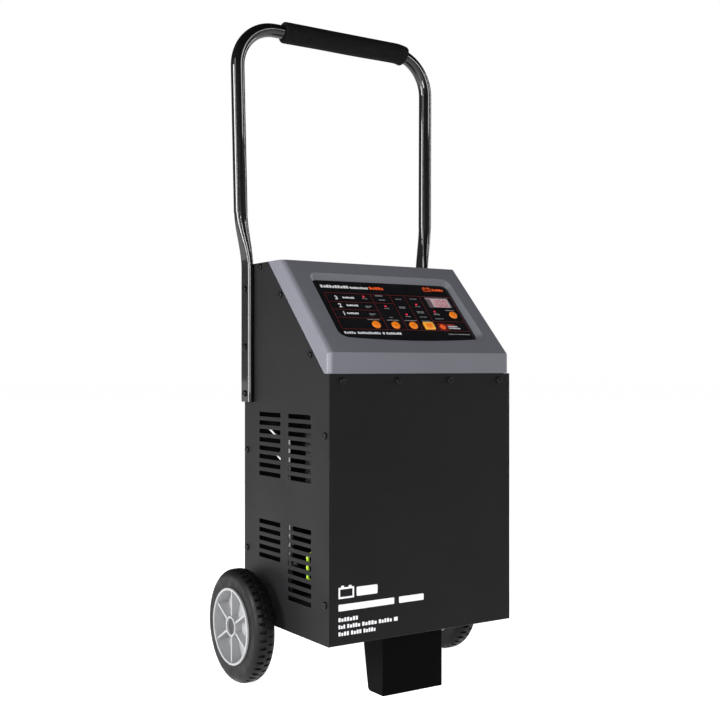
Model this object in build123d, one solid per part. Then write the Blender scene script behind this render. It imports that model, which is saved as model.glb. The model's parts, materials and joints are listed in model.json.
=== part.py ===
from build123d import *
import math
import os

# Wheeled car battery charger: sheet steel case, sloping control panel, U handle, two wheels and a front foot.
# Millimetres. +X is the machine's right, the front faces -Y, +Z is up and the floor is z = 0.
# A setback is a distance behind the flat front face of the case.

# ---------------------------------------------------------------- driving dimensions
# case
case_width = 305.0
case_depth = 235.5
case_bottom = 85.5
case_top = 596.7
sheet = 1.2
sheet_gap = 0.3
flange_depth = 15.0
rear_flange_depth = 12.0
half_width = case_width / 2
flange_half = half_width - sheet - sheet_gap
# sloping control bezel
slope_angle = 46.0
fascia_bottom = 438.8
crease_height = 466.8
band_setback = 12.0
bezel_wall = 3.0
bezel_lip = 22.0
side_round = 8.0
# recessed label, tilted a little steeper than the slope
label_centre_x = 1.8
label_up_slope = 90.0
label_depth = 8.5
label_tilt = 1.25
label_half_width = 118.5
label_top = 59.0
label_bottom = -55.0
label_bow = 6.0
label_corner = 9.0
label_thickness = 0.5
recess_draft = 0.55
recess_top_draft = 1.05
# display, lamps and buttons on the label (x from the case centre, v up the label)
display_centre = (88.2, 22.8)
display_size = (41.4, 20.0)
lamp_places = [(-40.8, 29.1), (-11.7, 10.8), (17.8, -4.5), (45.1, 16.8), (71.4, 3.1)]
lamp_radius = 1.6
round_button_places = {
    "rate_button": (-44.6, -26.8),
    "battery_type_button": (-11.8, -27.0),
    "charge_mode_button": (18.9, -26.6),
    "display_button": (102.1, -3.2),
}
start_button_place = (46.3, -26.8)
start_button_size = (17.4, 14.2)
button_radius = 6.6
button_rise = 1.4
button_travel = 0.8
button_gap = 0.35
board_drop = 13.5
board_thickness = 1.6
switch_height = 5.5
# vents
slot_length = 62.0
slot_height = 6.5
slot_pitch = 12.0
rear_slots_setback = 159.4
front_slots_setback = 76.1
upper_slots_height = 380.3
lower_slots_height = 227.9
# wheels and axle
wheel_radius = 80.0
axle_setback = 197.0
axle_height = wheel_radius
axle_radius = 5.0
hub_clearance = 0.06
axle_bracket_half_span = 112.0
tyre_inner_face = 162.6
tyre_outer_face = 193.6
tyre_shoulder = 12.4
rim_radius = 54.0
rim_outer_face = 196.5
rim_band = 3.6
hub_radius = 14.4
hub_inner_face = 158.0
hub_floor = 187.0
rib_count = 6
rib_thickness = 3.2
rib_phase = 30.0
tread_count = 44
tread_groove = (4.2, 3.0)
# front foot
foot_half_width = 50.5
foot_setback = 25.5
foot_sheet = 2.5
foot_top_rear = 77.0
foot_floor_rear = 62.0
foot_corner = 6.0
# handle
tube_radius = 10.0
tube_bore = 8.5
bend_radius = 61.0
handle_top = 947.0
handle_top_half = 170.5
handle_top_setback = 226.9
leg_round_bottom = 671.0
leg_round_half = 166.1
leg_round_setback = 222.5
leg_blend_top = 676.5
leg_blend_inset = 0.15
leg_section_straight = 0.6
leg_flat_top = 590.0
leg_bottom = 397.0
leg_flat_setback = 219.0
leg_flat_width = 26.8
leg_flat_thickness = 9.0
grip_radius = 15.7
grip_left_end = -94.0
grip_bend_share = 0.205
# fasteners
head_radius = 4.7
head_height = 2.6
shank_radius = 1.9
hole_gap = 0.1
# inside
core_unit = 25.0
core_setback = 62.0
core_stack = 80.0
core_base = 90.0
winding_build = 24.0
shelf_height = 262.0
shelf_half_width = 138.0
shelf_front = 24.0
shelf_rear = 196.0
pillar_radius = 4.0
pillar_half_span = 104.0
fan_size = 120.0
fan_depth = 25.0
fan_height = 380.0
fan_bore = 57.0
fan_hub = 20.0
fan_pin = 1.5
fan_blades = 7
guard_wire = 1.3
guard_stand_off = 4.0
gland_height = 150.0

# ---------------------------------------------------------------- derived frame
case_front = (head_height - axle_setback - wheel_radius) / 2
slope_cos = math.cos(math.radians(slope_angle))
slope_sin = math.sin(math.radians(slope_angle))
slope_length = (case_top - crease_height) / slope_sin
slope_end = slope_length * slope_cos
band_end = band_setback + (case_top - fascia_bottom) / math.tan(math.radians(slope_angle))
fan_setback = case_depth - sheet - fan_depth
core_centre = core_setback + core_stack / 2


def point(x, setback, z):
    return Vector(x, case_front + setback, z)


def block(x_range, setback_range, z_range):
    """Box between two corners, its Y given as setbacks."""
    low = point(x_range[0], setback_range[0], z_range[0])
    high = point(x_range[1], setback_range[1], z_range[1])
    size = high - low
    return Pos(*((low + high) * 0.5)) * Box(size.X, size.Y, size.Z)


def rod(start, end, radius):
    """Round bar between two points."""
    along = end - start
    bar = Cylinder(radius, along.length, align=(Align.CENTER, Align.CENTER, Align.MIN))
    return Plane(origin=start, z_dir=along) * bar


def profile(points, x_low, x_high):
    """Closed outline in the side view, extruded across X."""
    corners = [point(0, setback, z) for setback, z in points]
    face = make_face(Polyline(*corners, close=True))
    return Pos(x_low, 0, 0) * extrude(face, amount=x_high - x_low, dir=(1, 0, 0))


def group(solids):
    return Compound(list(solids))


# ---------------------------------------------------------------- planes of the control panel
def slope_plane():
    return Plane(origin=point(0, 0, crease_height), x_dir=(1, 0, 0), z_dir=(0, -slope_sin, slope_cos))


def label_plane():
    """Top surface of the label: x across the case, y up the label, z out of it."""
    angle = math.radians(slope_angle + label_tilt)
    origin = slope_plane().from_local_coords(Vector(0, label_up_slope, -label_depth))
    return Plane(origin=origin, x_dir=(1, 0, 0), z_dir=(0, -math.sin(angle), math.cos(angle)))


def recess_outline(rise, margin=0.0):
    """Rounded outline of the label recess at a height above the label, with a bowed lower edge."""
    left = label_centre_x - label_half_width - recess_draft * rise - margin
    right = label_centre_x + label_half_width + recess_draft * rise + margin
    top = label_top + recess_top_draft * rise + margin
    bottom = label_bottom - recess_draft * rise - margin
    corner = label_corner + recess_draft * rise
    middle = (left + right) / 2
    outline = Line((right, bottom), (right, top))
    outline += Line((right, top), (left, top))
    outline += Line((left, top), (left, bottom))
    outline += ThreePointArc((left, bottom), (middle, bottom - label_bow), (right, bottom))
    face = make_face(outline)
    return fillet(face.vertices(), corner)


def recess_body(low, high, margin=0.0):
    """Solid of the recess between two heights above the label surface, walls drafted outwards."""
    sections = []
    for rise in (low, high):
        sections.append(label_plane() * Pos(0, 0, rise) * recess_outline(rise, margin))
    return loft(sections, ruled=True)


def panel_opening(place, size_or_radius, low, high):
    """Round or rectangular plug along the label's normal."""
    if isinstance(size_or_radius, tuple):
        shape = RectangleRounded(size_or_radius[0], size_or_radius[1], 1.2)
    else:
        shape = Circle(size_or_radius)
    return label_plane() * Pos(place[0], place[1], low) * extrude(shape, amount=high - low)


def panel_plugs(low, high, gap):
    """Everything that passes through the label: display, lamps and buttons, grown by a gap."""
    window = (display_size[0] + 2 * gap, display_size[1] + 2 * gap)
    start = (start_button_size[0] + 2 * gap, start_button_size[1] + 2 * gap)
    plugs = [panel_opening(display_centre, window, low, high)]
    plugs += [panel_opening(place, lamp_radius + gap, low, high) for place in lamp_places]
    plugs += [panel_opening(place, button_radius + gap, low, high) for place in round_button_places.values()]
    plugs.append(panel_opening(start_button_place, start, low, high))
    return plugs


# ---------------------------------------------------------------- fasteners
def pan_screw(plane, length):
    """Pan head cross recess screw; the plane's z leaves the panel through the head."""
    head = extrude(Circle(head_radius), amount=head_height)
    head = fillet(head.edges().group_by(Axis.Z)[-1], 1.3)
    slot = Box(4.4, 0.9, 1.2, align=(Align.CENTER, Align.CENTER, Align.MAX))
    cross = slot + Rot(0, 0, 90) * slot
    head -= Pos(0, 0, head_height) * cross
    shank = Cylinder(shank_radius, length, align=(Align.CENTER, Align.CENTER, Align.MAX))
    return plane * (head + shank)


def screw_hole(plane, depth=12.0, gap=hole_gap):
    return plane * Cylinder(shank_radius + gap, depth, align=(Align.CENTER, Align.CENTER, Align.CENTER))


def facing(x, setback, z, direction):
    return Plane(origin=point(x, setback, z), z_dir=direction)


def front_screw_planes():
    return [facing(x, 0, 429.3, (0, -1, 0)) for x in (-132.0, -43.6, 43.6, 132.0)]


def side_screw_places():
    """Setback and height of the screws through one side panel."""
    top_edge = [(187.1, 590.7)]
    band_edge = [(128.4, 547.5), (47.5, 463.5)]
    front_edge = [(10.0, 357.9), (10.0, 138.2)]
    rear_edge = [(227.4, 326.8), (227.4, 184.7)]
    return top_edge + band_edge + front_edge + rear_edge


def side_screw_planes(side):
    return [facing(side * half_width, setback, z, (side, 0, 0)) for setback, z in side_screw_places()]


def handle_screw_planes(side):
    outer = half_width + leg_flat_thickness
    return [facing(side * outer, leg_flat_setback - 1.0, z, (side, 0, 0)) for z in (560.2, 476.9, 409.1)]


def rear_screw_planes():
    return [facing(x, case_depth, case_top - 8.5, (0, 1, 0)) for x in (-118.0, 0.0, 118.0)]


def fan_screw_planes():
    reach = fan_size / 2 - 7.5
    corners = [(x, z) for x in (-reach, reach) for z in (fan_height - reach, fan_height + reach)]
    return [facing(x, case_depth, z, (0, 1, 0)) for x, z in corners]


def foot_screw_planes():
    under = case_bottom - foot_sheet
    corners = [(x, setback) for x in (-32.0, 32.0) for setback in (42.0, 64.0)]
    return [facing(x, setback, under, (0, 0, -1)) for x, setback in corners]


def axle_screw_planes():
    under = case_bottom - 2.5
    spans = (-axle_bracket_half_span, axle_bracket_half_span)
    corners = [(x, axle_setback + step) for x in spans for step in (-15.0, 15.0)]
    return [facing(x, setback, under, (0, 0, -1)) for x, setback in corners]


def screws(planes, length):
    return group(pan_screw(plane, length) for plane in planes)


def drilled(part, planes, depth=30.0):
    return part - [screw_hole(plane, depth) for plane in planes]


# ---------------------------------------------------------------- sheet steel case
def base_tray():
    front = flange_depth + sheet_gap
    rear = case_depth - rear_flange_depth - sheet_gap
    outer = block((-flange_half, flange_half), (front, rear), (case_bottom, case_bottom + 18))
    outer = fillet(outer.edges().filter_by(Axis.Y).group_by(Axis.Z)[0], 2.0)
    inner = block(
        (-flange_half + sheet, flange_half - sheet),
        (front + sheet, rear - sheet),
        (case_bottom + sheet, case_bottom + 20),
    )
    return drilled(outer - inner, foot_screw_planes() + axle_screw_planes(), 20)


def front_panel():
    """Folded tray: face, two side flanges and a bottom flange."""
    outer = block((-flange_half, flange_half), (0, flange_depth), (case_bottom, fascia_bottom - sheet_gap))
    outer = fillet(outer.edges().filter_by(Axis.Z).group_by(Axis.Y)[0], 1.0)
    outer = fillet(outer.edges().filter_by(Axis.X).group_by(Axis.Z)[0].group_by(Axis.Y)[0], 1.4)
    inner = block(
        (-flange_half + sheet, flange_half - sheet),
        (sheet, flange_depth + 1),
        (case_bottom + sheet, fascia_bottom + 1),
    )
    planes = front_screw_planes() + side_screw_planes(-1) + side_screw_planes(1)
    return drilled(outer - inner, planes)


def rear_panel():
    """Folded tray closing the back, with the fan opening and the cable outlets."""
    rear = case_depth
    top = case_top - sheet - sheet_gap
    outer = block((-flange_half, flange_half), (rear - rear_flange_depth, rear), (case_bottom, top))
    outer = fillet(outer.edges().filter_by(Axis.Z).group_by(Axis.Y)[-1], 1.0)
    inner = block(
        (-flange_half + sheet, flange_half - sheet),
        (rear - rear_flange_depth - 1, rear - sheet),
        (case_bottom + sheet, top + 1),
    )
    panel = outer - inner
    panel -= rod(point(0, rear - 5, fan_height), point(0, rear + 5, fan_height), fan_bore)
    for x, radius in gland_places():
        panel -= rod(point(x, rear - 5, gland_height), point(x, rear + 5, gland_height), radius + 3.0)
    planes = rear_screw_planes() + fan_screw_planes() + side_screw_planes(-1) + side_screw_planes(1)
    return drilled(panel, planes)


def vent_slots(side):
    """Cutters for both blocks of vents in one side panel; the lower rear column clears the wheel."""
    columns = [
        (rear_slots_setback, upper_slots_height, 8),
        (front_slots_setback, upper_slots_height, 8),
        (rear_slots_setback, lower_slots_height, 5),
        (front_slots_setback, lower_slots_height, 9),
    ]
    slot = extrude(RectangleRounded(slot_length, slot_height, 1.3), amount=3, both=True)
    cutters = []
    for setback, first_height, rows in columns:
        for row in range(rows):
            origin = point(side * half_width, setback, first_height - row * slot_pitch)
            cutters.append(Plane(origin=origin, x_dir=(0, 1, 0), z_dir=(side, 0, 0)) * slot)
    return cutters


def side_panel(side):
    top_start = band_end + 2 * sheet_gap
    outline = [
        (0, case_bottom),
        (0, fascia_bottom - sheet_gap),
        (band_setback + sheet_gap, fascia_bottom - sheet_gap),
        (top_start, case_top),
        (case_depth, case_top),
        (case_depth, case_bottom),
    ]
    inner_face = half_width - sheet
    low, high = sorted((side * inner_face, side * half_width))
    sheet_blank = profile(outline, low, high)
    sheet_blank -= vent_slots(side)
    return drilled(sheet_blank, side_screw_planes(side) + handle_screw_planes(side))


def top_panel():
    """Lid behind the bezel, folded down at both sides and at the back."""
    front = band_end + 2 * sheet_gap
    rear = case_depth - sheet - sheet_gap
    outer = block((-flange_half, flange_half), (front, rear), (case_top - flange_depth, case_top))
    inner = block(
        (-flange_half + sheet, flange_half - sheet),
        (front - 1, rear - sheet),
        (case_top - flange_depth - 1, case_top - sheet),
    )
    rear_notch = block(
        (-flange_half - 1, -flange_half + 3),
        (case_depth - rear_flange_depth - 1, rear + 1),
        (case_top - flange_depth - 1, case_top - sheet),
    )
    lid = outer - inner - rear_notch - mirror(rear_notch, about=Plane.YZ)
    planes = rear_screw_planes() + side_screw_planes(-1) + side_screw_planes(1)
    return drilled(lid, planes)


# ---------------------------------------------------------------- control bezel and what it carries
def bezel_profile(inset):
    """Side outline of the hood, moved inwards by an inset."""
    shift = inset * math.tan(math.radians((90 - slope_angle) / 2))
    top_shift = inset * math.tan(math.radians(slope_angle / 2))
    return [
        (inset, crease_height - shift),
        (slope_end + top_shift, case_top - inset),
    ]


def bezel_shell():
    crease, shoulder = bezel_profile(0)
    hood = profile(
        [(0, fascia_bottom), crease, shoulder, (band_end, case_top), (band_setback, fascia_bottom)],
        -half_width,
        half_width,
    )
    slope_edges = hood.edges().filter_by(lambda edge: abs(edge.center().X) > half_width - 1)
    slope_edges = slope_edges.filter_by(lambda edge: abs(edge.length - slope_length) < 0.5)
    upright_edges = hood.edges().filter_by(Axis.Z)
    hood = fillet(upright_edges + slope_edges, side_round)
    inner_crease, inner_shoulder = bezel_profile(bezel_wall)
    hollow = profile(
        [(bezel_wall, 400), inner_crease, inner_shoulder, (case_depth, case_top - bezel_wall), (case_depth, 400)],
        -half_width + bezel_wall,
        half_width - bezel_wall,
    )
    long_edges = hollow.edges().filter_by(lambda edge: abs(edge.center().X) > half_width - 5)
    long_edges = long_edges.filter_by(lambda edge: edge.center().Y < case_front + slope_end)
    long_edges = long_edges.filter_by(lambda edge: edge.center().Z > 405)
    hollow = fillet(long_edges, side_round - bezel_wall)
    return hood, hollow


def bezel_lips():
    """Inner flanges that the front and side panels are screwed to."""
    lip_gap = sheet + sheet_gap
    inner = half_width - lip_gap - 2.4
    front_lip = block((-inner + 6, inner - 6), (lip_gap, lip_gap + 3), (fascia_bottom - 19, fascia_bottom + 6))
    lip_start = band_setback + bezel_lip / slope_sin
    lip_end = band_end - sheet_gap
    lip_end_height = fascia_bottom + (lip_end - lip_start) * slope_sin / slope_cos
    overlap = 6.0
    outline = [
        (lip_start, fascia_bottom),
        (band_setback - overlap, fascia_bottom),
        (band_end - overlap - bezel_wall, case_top - bezel_wall),
        (lip_end, case_top - bezel_wall),
        (lip_end, lip_end_height),
    ]
    side_lip = profile(outline, inner, half_width - lip_gap)
    return front_lip + side_lip + mirror(side_lip, about=Plane.YZ)


def control_bezel():
    hood, hollow = bezel_shell()
    tub = recess_body(-label_thickness - 2.5, 14, 2.5) & hood
    shell = hood - hollow + tub
    shell += bezel_lips()
    shell -= recess_body(-label_thickness, 16)
    shell -= panel_plugs(-8, 2, button_gap)
    planes = front_screw_planes() + side_screw_planes(-1) + side_screw_planes(1)
    return drilled(shell, planes, 24)


def control_label():
    film = recess_body(-label_thickness, 0, -0.2)
    return film - panel_plugs(-3, 3, button_gap)


def display_window():
    pane = (display_size[0] + 0.2, display_size[1] + 0.2)
    return panel_opening(display_centre, pane, -1.6, 0.3)


def display_module():
    depth = board_drop
    case = panel_opening(display_centre, (display_size[0] - 0.6, display_size[1] - 0.6), -depth, -1.7)
    return case


def indicator_leds():
    lamps = []
    for place in lamp_places:
        lens = panel_opening(place, lamp_radius, -board_drop, 0.4)
        lamps.append(fillet(lens.edges().filter_by(GeomType.CIRCLE).sort_by(Axis.Z)[-1], 0.6))
    return group(lamps)


def button_stack(cap, flange, place):
    """Cap above the label, retaining flange under the bezel and a stem down to the switch."""
    under = -label_thickness - 2.5
    stem_end = -board_drop + switch_height + button_travel + button_gap
    flange_top = under - 0.3
    ring = extrude(flange, amount=-1.2)
    stem = Pos(0, 0, stem_end) * Cylinder(
        2.0, flange_top - stem_end, align=(Align.CENTER, Align.CENTER, Align.MIN)
    )
    return label_plane() * Pos(place[0], place[1], 0) * (cap + Pos(0, 0, flange_top) * ring + stem)


def round_button(place):
    low = -label_thickness - 3.0
    cap = Pos(0, 0, low) * extrude(Circle(button_radius), amount=button_rise - low)
    cap = fillet(cap.edges().group_by(Axis.Z)[-1], 1.0)
    return button_stack(cap, Circle(button_radius + 1.4), place)


def start_button():
    low = -label_thickness - 3.0
    face = RectangleRounded(start_button_size[0], start_button_size[1], 1.4)
    cap = Pos(0, 0, low) * extrude(face, amount=button_rise - low)
    cap = fillet(cap.edges().group_by(Axis.Z)[-1], 0.9)
    flange = RectangleRounded(start_button_size[0] + 3, start_button_size[1] + 3, 1.4)
    return button_stack(cap, flange, start_button_place)


def control_board():
    board = label_plane() * Pos(label_centre_x, 0, -board_drop - board_thickness) * Box(
        222, 96, board_thickness, align=(Align.CENTER, Align.CENTER, Align.MIN)
    )
    return board


def board_standoffs():
    under = -label_thickness - 2.5
    posts = []
    for x in (-96.0, 96.0):
        for v in (-42.0, 42.0):
            post = Pos(x, v, -board_drop) * Cylinder(
                3.2, board_drop + under, align=(Align.CENTER, Align.CENTER, Align.MIN)
            )
            posts.append(label_plane() * post)
    return group(posts)


def button_switches():
    body_height = switch_height - 1.8
    switches = []
    for place in list(round_button_places.values()) + [start_button_place]:
        body = Box(12, 12, body_height, align=(Align.CENTER, Align.CENTER, Align.MIN))
        plunger = Pos(0, 0, body_height) * Cylinder(3, 1.8, align=(Align.CENTER, Align.CENTER, Align.MIN))
        switches.append(label_plane() * Pos(place[0], place[1], -board_drop) * (body + plunger))
    return group(switches)


# ---------------------------------------------------------------- power parts inside the case
def transformer_core():
    """Laminated E-I stack: outer legs one unit, centre leg two, yokes one."""
    width = 6 * core_unit
    height = 5 * core_unit
    rear = core_setback + core_stack
    core = block((-width / 2, width / 2), (core_setback, rear), (core_base, core_base + height))
    window_z = (core_base + core_unit, core_base + height - core_unit)
    for side in (-1, 1):
        low, high = sorted((side * core_unit, side * 2 * core_unit))
        core -= block((low, high), (core_setback - 1, rear + 1), window_z)
    return core


def transformer_windings():
    reach = core_unit + winding_build
    front = core_setback - winding_build
    rear = core_setback + core_stack + winding_build
    low = core_base + core_unit + 1.5
    high = core_base + 4 * core_unit - 1.5
    coil = block((-reach, reach), (front, rear), (low, high))
    coil = fillet(coil.edges().filter_by(Axis.Z), 14)
    leg = block(
        (-core_unit - 0.5, core_unit + 0.5),
        (core_setback - 0.5, core_setback + core_stack + 0.5),
        (low - 1, high + 1),
    )
    return coil - leg


def transformer_bracket(side):
    """Angle foot clamping one end of the core to the tray."""
    edge = 3 * core_unit
    floor = case_bottom + sheet
    rear = core_setback + core_stack
    low, high = sorted((side * edge, side * (edge + 3)))
    upright = block((low, high), (core_setback, rear), (floor, core_base + 90))
    low, high = sorted((side * edge, side * (edge + 28)))
    return upright + block((low, high), (core_setback, rear), (floor, floor + 3))


def transformer_bolts():
    bolts = []
    floor = case_bottom + sheet + 3
    for x in (-94.0, 94.0):
        for setback in (core_setback + 14, core_setback + core_stack - 14):
            head = extrude(RegularPolygon(5.0, 6), amount=4)
            bolts.append(Pos(*point(x, setback, floor)) * head)
    return group(bolts)


def pillar_points(z):
    corners = [(x, s) for x in (-pillar_half_span, pillar_half_span) for s in (shelf_front + 10, shelf_rear - 10)]
    return [point(x, setback, z) for x, setback in corners]


def shelf_pillars():
    floor = case_bottom + sheet
    rise = Vector(0, 0, shelf_height - floor)
    return group(rod(foot, foot + rise, pillar_radius) for foot in pillar_points(floor))


def component_shelf():
    plate = block((-shelf_half_width, shelf_half_width), (shelf_front, shelf_rear), (shelf_height, shelf_height + 1.5))
    vent = block((-60, 60), (shelf_front + 30, shelf_front + 46), (shelf_height - 1, shelf_height + 3))
    return plate - vent


def rectifier_heatsink():
    """Aluminium extrusion with upright fins, open towards the fan."""
    base = shelf_height + 1.5
    sink = block((-84, 84), (92, 182), (base, base + 8))
    fin_count = 13
    fin_height = 92.0
    fin_pitch = 160 / (fin_count - 1)
    for index in range(fin_count):
        x = -80 + index * fin_pitch
        sink += block((x - 1.2, x + 1.2), (112, 182), (base + 7, base + fin_height))
    return sink


def rectifier_diodes():
    base = shelf_height + 1.5 + 8
    diodes = []
    for x in (-60.0, -20.0, 20.0, 60.0):
        hexagon = extrude(RegularPolygon(7.5, 6), amount=5)
        barrel = Pos(0, 0, 5) * Cylinder(5.5, 8, align=(Align.CENTER, Align.CENTER, Align.MIN))
        lead = Pos(0, 0, 13) * Cylinder(1.6, 10, align=(Align.CENTER, Align.CENTER, Align.MIN))
        diodes.append(Pos(*point(x, 102, base)) * (hexagon + barrel + lead))
    return group(diodes)


def power_board():
    base = shelf_height + 1.5
    board = block((-110, 110), (34, 84), (base + 6, base + 7.6))
    for x in (-100.0, 100.0):
        for setback in (40.0, 78.0):
            board += rod(point(x, setback, base), point(x, setback, base + 6.5), 3)
    for x in (-84.0, 88.0):
        board += block((x - 12, x + 12), (44, 68), (base + 7, base + 30))
    return board


def capacitors():
    """Four upright electrolytic cans on the power board."""
    base = shelf_height + 1.5 + 7.6
    cans = []
    for x in (-48.0, -16.0, 16.0, 48.0):
        can = rod(point(x, 58, base), point(x, 58, base + 62), 14)
        cans.append(fillet(can.edges().filter_by(GeomType.CIRCLE).group_by(Axis.Z)[-1], 2.0))
    return group(cans)


def circuit_breaker():
    base = shelf_height + 1.5
    body = block((100, 126), (104, 150), (base, base + 34))
    body = fillet(body.edges().filter_by(Axis.Z), 2.5)
    posts = rod(point(113, 114, base + 33), point(113, 114, base + 42), 3)
    return body + posts + rod(point(113, 140, base + 33), point(113, 140, base + 42), 3)


# ---------------------------------------------------------------- cooling fan
def fan_frame():
    front = fan_setback
    rear = fan_setback + fan_depth
    half = fan_size / 2
    frame = block((-half, half), (front, rear), (fan_height - half, fan_height + half))
    frame = fillet(frame.edges().filter_by(Axis.Y), 6)
    frame -= rod(point(0, front - 1, fan_height), point(0, rear + 1, fan_height), fan_bore)
    seat = rod(point(0, front, fan_height), point(0, front + 4, fan_height), fan_hub + 1)
    for turn in range(4):
        angle = math.radians(45 + 90 * turn)
        start = point(0, front + 2, fan_height)
        end = start + Vector(math.cos(angle), 0, math.sin(angle)) * (fan_bore + 1)
        seat += rod(start, end, 1.9)
    pin = rod(point(0, front + 3, fan_height), point(0, front + 20, fan_height), fan_pin)
    frame += seat + pin
    for plane in fan_screw_planes():
        frame -= screw_hole(plane, 60)
    return frame


def fan_rotor():
    start = fan_setback + 4.6
    hub = rod(point(0, start, fan_height), point(0, start + 17.5, fan_height), fan_hub)
    hub = fillet(hub.edges().filter_by(GeomType.CIRCLE).sort_by(Axis.Y)[-1], 2.0)
    reach = fan_bore - 1.5
    blade = Rot(38, 0, 0) * Box(reach - fan_hub + 2, 1.8, 19, align=(Align.MIN, Align.CENTER, Align.CENTER))
    blade = Pos(fan_hub - 2, 0, 0) * blade
    sweep_limit = Cylinder(reach, 16)
    rotor_blades = []
    for index in range(fan_blades):
        rotor_blades.append(Rot(0, 0, index * 360 / fan_blades) * (blade & sweep_limit))
    middle = Plane(origin=point(0, start + 9, fan_height), z_dir=(0, 1, 0))
    rotor = hub + [middle * item for item in rotor_blades]
    return rotor - rod(point(0, start - 1, fan_height), point(0, fan_setback + 20.4, fan_height), fan_pin + 0.05)


def fan_guard():
    """Wire rings on four flat spokes, on the outside of the rear panel."""
    wire = guard_wire
    origin = point(0, case_depth + guard_stand_off, fan_height)
    plane = Plane(origin=origin, z_dir=(0, 1, 0))
    reach = (fan_size / 2 - 7.5) * math.sqrt(2)
    spoke = Pos(8, 0, -wire) * Box(reach - 8, 3.6, 1.6, align=(Align.MIN, Align.CENTER, Align.CENTER))
    spoke += Pos(reach, 0, -guard_stand_off) * Cylinder(
        5.2, guard_stand_off - wire + 0.8, align=(Align.CENTER, Align.CENTER, Align.MIN)
    )
    guard = Rot(0, 0, 45) * spoke
    for turn in range(1, 4):
        guard += Rot(0, 0, 45 + 90 * turn) * spoke
    for radius in (10.0, 21.0, 32.0, 43.0, 54.0):
        guard += Torus(radius, wire)
    guard = plane * guard
    for screw_plane in fan_screw_planes():
        guard -= screw_hole(screw_plane, 60)
    return guard


def fan_screws():
    rise = guard_stand_off - guard_wire + 0.8
    return group(pan_screw(plane * Pos(0, 0, rise), 20) for plane in fan_screw_planes())


# ---------------------------------------------------------------- wiring and cable outlets
def gland_places():
    """X place and bore radius of the mains, positive and negative cable outlets."""
    return [(-70.0, 4.2), (60.0, 5.6), (95.0, 5.6)]


def cable_gland(x, bore):
    """Rubber grommet snapped into the rear panel, open for its cable."""
    face = case_depth
    body = rod(point(x, face - 5, gland_height), point(x, face + 9, gland_height), bore + 2.9)
    collar = rod(point(x, face, gland_height), point(x, face + 3.5, gland_height), bore + 6.5)
    collar = fillet(collar.edges().filter_by(GeomType.CIRCLE).sort_by(Axis.Y)[-1], 1.5)
    inner_collar = rod(point(x, face - 5, gland_height), point(x, face - sheet, gland_height), bore + 5)
    grommet = body + collar + inner_collar
    return grommet - rod(point(x, face - 6, gland_height), point(x, face + 10, gland_height), bore)


def wire(route, radius, bend):
    """Insulated wire: straight runs joined by tangent arcs."""
    path = FilletPolyline(*route, radius=bend)
    section = Plane(origin=path @ 0, z_dir=path % 0) * Circle(radius)
    return sweep(section, path=path)


def earth_wire():
    """Green and yellow earth lead from the tray to the shelf, passing close behind the front vents."""
    near_panel = -half_width + 8.0
    setback = 67.0
    route = [
        point(-118, setback - 7, case_bottom + sheet),
        point(-118, setback - 7, 126),
        point(-128, setback, 158),
        point(near_panel, setback, 160),
        point(near_panel, setback, 196),
        point(-128, setback, 198),
        point(-122, setback + 3, 226),
        point(-122, setback + 3, shelf_height),
    ]
    return wire(route, 2.3, 6)


def lamp_wires():
    """Two white leads that loop up from the shelf and out to the side panel, behind the upper vents."""
    floor = shelf_height + 1.5
    near_panel = -half_width + 7.5
    upper = [
        point(-112, 186, floor),
        point(-112, 186, 359.5),
        point(near_panel, 179, 363),
        point(near_panel, 153, 349.5),
        point(-112, 174, 346),
        point(-112, 174, floor),
    ]
    lower = [
        point(-112, 180, floor),
        point(-112, 180, 322.8),
        point(near_panel, 157, 326.3),
        point(near_panel, 132.5, 314.5),
        point(-118, 166, 311),
        point(-118, 166, floor),
    ]
    return group([wire(upper, 1.4, 5), wire(lower, 1.4, 5)])


# ---------------------------------------------------------------- running gear
def wheel_plane(side):
    """Local z is the distance out from the machine's centre plane, along the axle."""
    return Plane(origin=point(0, axle_setback, axle_height), x_dir=(0, -1, 0), z_dir=(side, 0, 0))


def ring(inner, outer, low, high):
    """Plain ring about the local z axis."""
    body = Pos(0, 0, low) * Cylinder(outer, high - low, align=(Align.CENTER, Align.CENTER, Align.MIN))
    if inner > 0:
        body -= Pos(0, 0, low - 1) * Cylinder(inner, high - low + 2, align=(Align.CENTER, Align.CENTER, Align.MIN))
    return body


def tyre(side):
    """Solid rubber tyre with two staggered rows of shoulder blocks."""
    body = ring(0, wheel_radius, tyre_inner_face, tyre_outer_face)
    body = fillet(body.edges().filter_by(GeomType.CIRCLE), tyre_shoulder)
    body -= ring(0, rim_radius, tyre_inner_face - 1, tyre_outer_face + 1)
    middle = (tyre_inner_face + tyre_outer_face) / 2
    groove_width, groove_depth = tread_groove
    groove_length = (tyre_outer_face - tyre_inner_face) / 2 - 1.4
    pitch = 360 / tread_count
    cutters = []
    for row in (-1, 1):
        phase = 0.5 if row > 0 else 0.0
        cutter = Pos(wheel_radius - groove_depth, 0, row * 1.4) * Box(
            20,
            groove_width,
            groove_length,
            align=(Align.MIN, Align.CENTER, Align.MIN if row > 0 else Align.MAX),
        )
        shoulder = Pos(wheel_radius - groove_depth, 0, row * 6.5) * Rot(0, row * 42, 0) * Box(
            16,
            groove_width,
            16,
            align=(Align.MIN, Align.CENTER, Align.MIN if row > 0 else Align.MAX),
        )
        for index in range(tread_count):
            turn = Rot(0, 0, (index + phase) * pitch)
            cutters.append(Pos(0, 0, middle) * turn * cutter)
            cutters.append(Pos(0, 0, middle) * turn * shoulder)
    return wheel_plane(side) * (body - cutters)


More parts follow.
